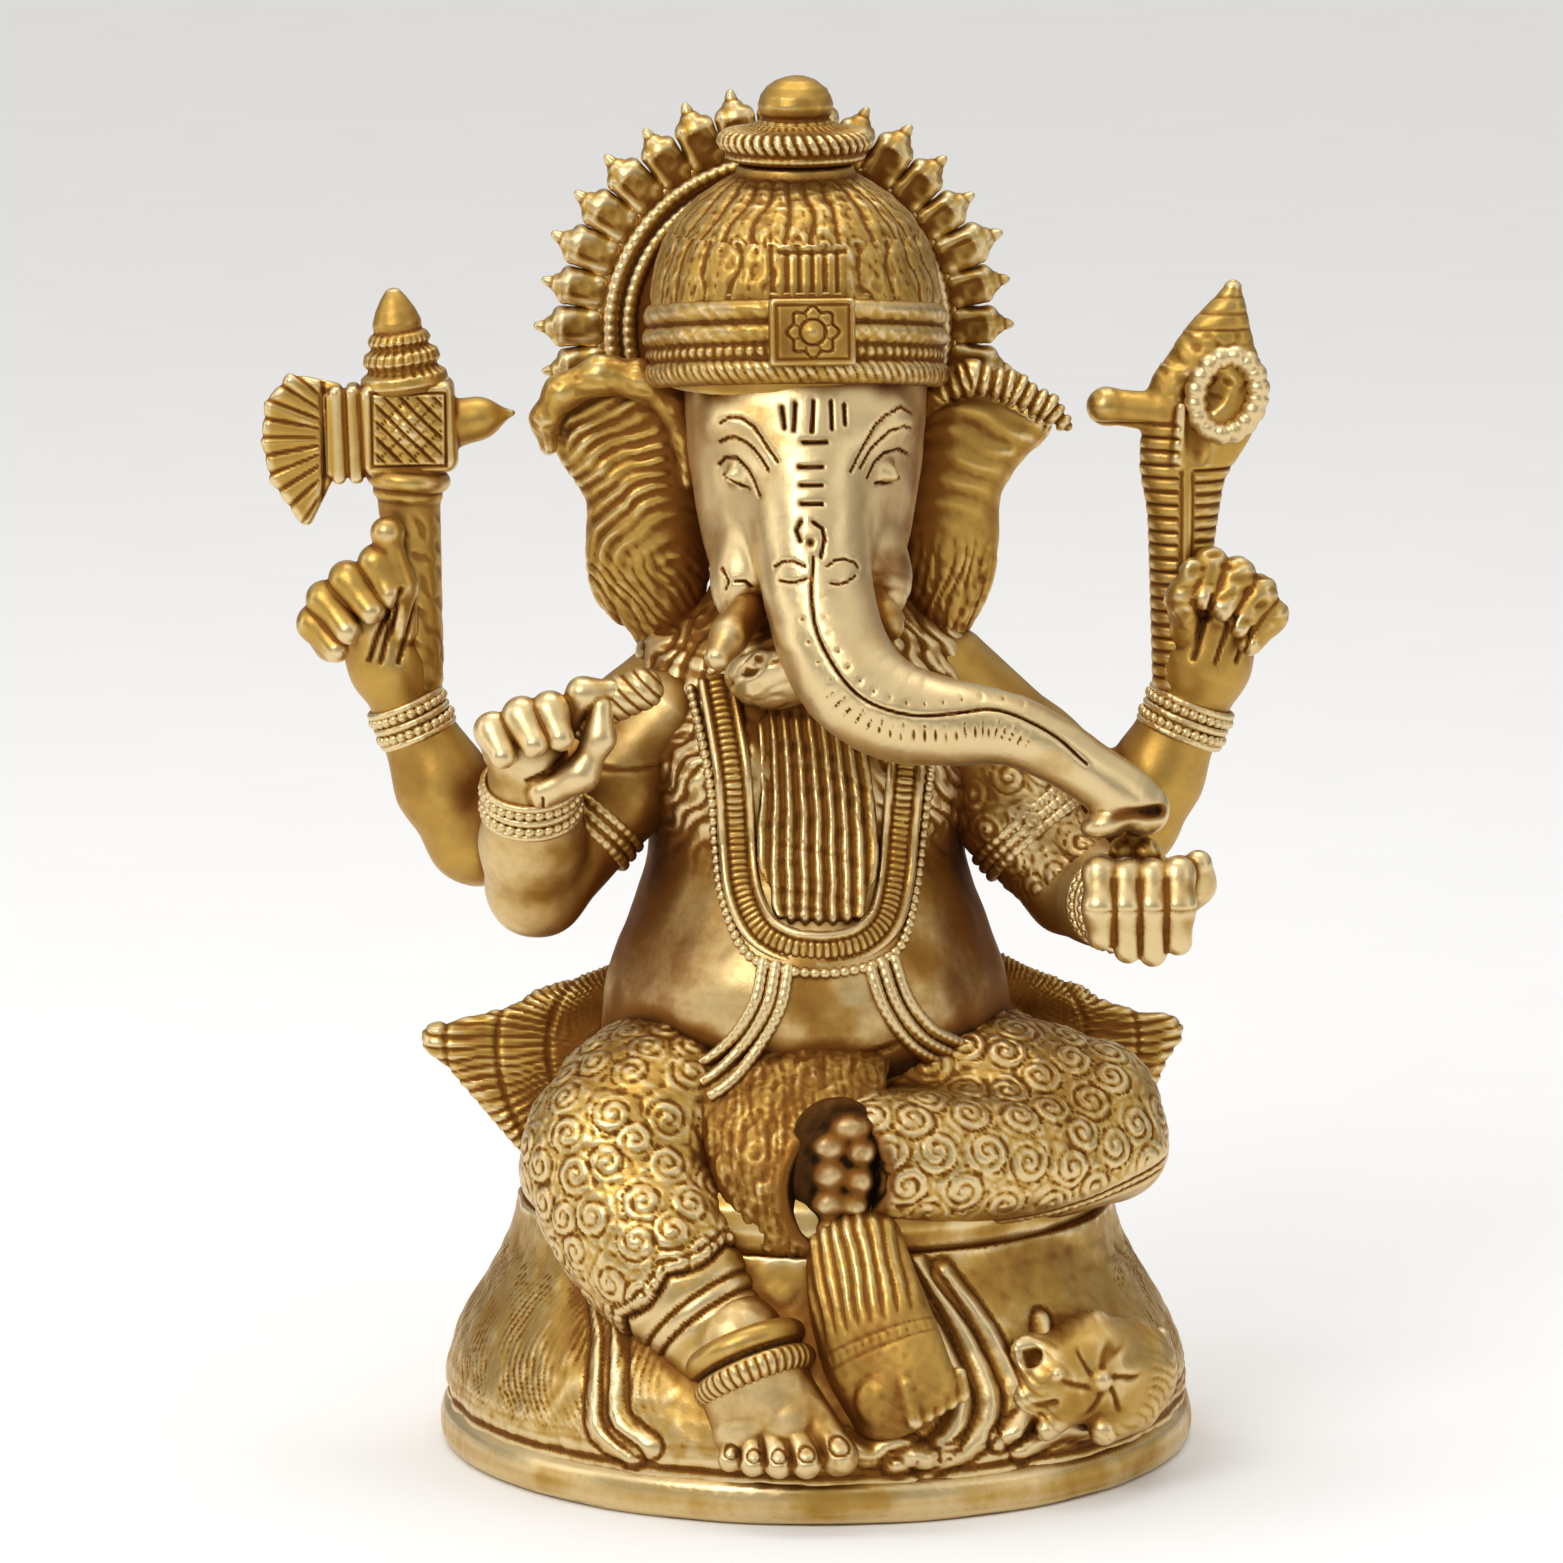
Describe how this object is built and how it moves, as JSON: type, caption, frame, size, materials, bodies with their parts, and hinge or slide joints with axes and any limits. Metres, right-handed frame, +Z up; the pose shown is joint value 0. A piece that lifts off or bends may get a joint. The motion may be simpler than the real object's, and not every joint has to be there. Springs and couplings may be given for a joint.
{
  "type": "seated deity statue",
  "caption": "Cast brass figurine of a seated four-armed elephant-headed deity with crown, petalled halo, hand-held emblems and mouse on a round hollow pedestal.",
  "frame": {"origin": "centre of the round foot ring's underside, on the surface the statue stands on", "axes": "+Z up through the figure; the deity faces -Y; +X is the deity's own left"},
  "size_m": [0.1019, 0.0802, 0.1375],
  "materials": {
    "polished_brass": "rubbed and polished, pale gold",
    "chased_brass": "chased ornament, bright on top and toned in the lines",
    "crown_brass": "chased crown and halo, toned in the recesses",
    "cloth_relief_brass": "chased scrollwork over cast cloth folds",
    "pedestal_brass": "rubbed brass with radiating chased lines",
    "foot_band_brass": "plain filed and polished band"
  },
  "bodies": {
    "root": {"foot_ring": "foot_band_brass", "pedestal": "pedestal_brass", "seat": "pedestal_brass", "torso": "polished_brass", "loin_cloth": "cloth_relief_brass", "right_thigh": "cloth_relief_brass", "right_shin": "cloth_relief_brass", "right_foot": "polished_brass", "right_anklet": "chased_brass", "left_thigh": "cloth_relief_brass", "left_shin": "cloth_relief_brass", "left_foot": "polished_brass", "sash_end": "cloth_relief_brass", "sash_fan_right": "cloth_relief_brass", "sash_fan_left": "cloth_relief_brass", "front_right_upper_arm": "polished_brass", "front_right_forearm": "polished_brass", "front_right_hand": "polished_brass", "rear_right_upper_arm": "polished_brass", "rear_right_forearm": "polished_brass", "rear_right_hand": "polished_brass", "front_left_upper_arm": "polished_brass", "front_left_forearm": "polished_brass", "front_left_hand": "polished_brass", "rear_left_upper_arm": "polished_brass", "rear_left_forearm": "polished_brass", "rear_left_hand": "polished_brass", "bracelets": "chased_brass", "armlets": "chased_brass", "hand_tusk": "polished_brass", "axe_shaft": "chased_brass", "axe_head": "chased_brass", "axe_finial": "chased_brass", "goad_shaft": "chased_brass", "goad_head": "chased_brass", "noose": "chased_brass", "sweets": "polished_brass", "head": "polished_brass", "trunk": "polished_brass", "right_ear": "chased_brass", "left_ear": "chased_brass", "right_tusk": "polished_brass", "left_tusk": "polished_brass", "crown_dome": "crown_brass", "crown_band": "crown_brass", "crown_plate": "crown_brass", "crown_disc": "crown_brass", "crown_finial": "crown_brass", "halo_ring": "crown_brass", "halo_petals": "crown_brass", "necklace": "chased_brass", "chest_shawl": "cloth_relief_brass", "belly_cords": "chased_brass", "mouse": "polished_brass"}
  },
  "joints": []
}
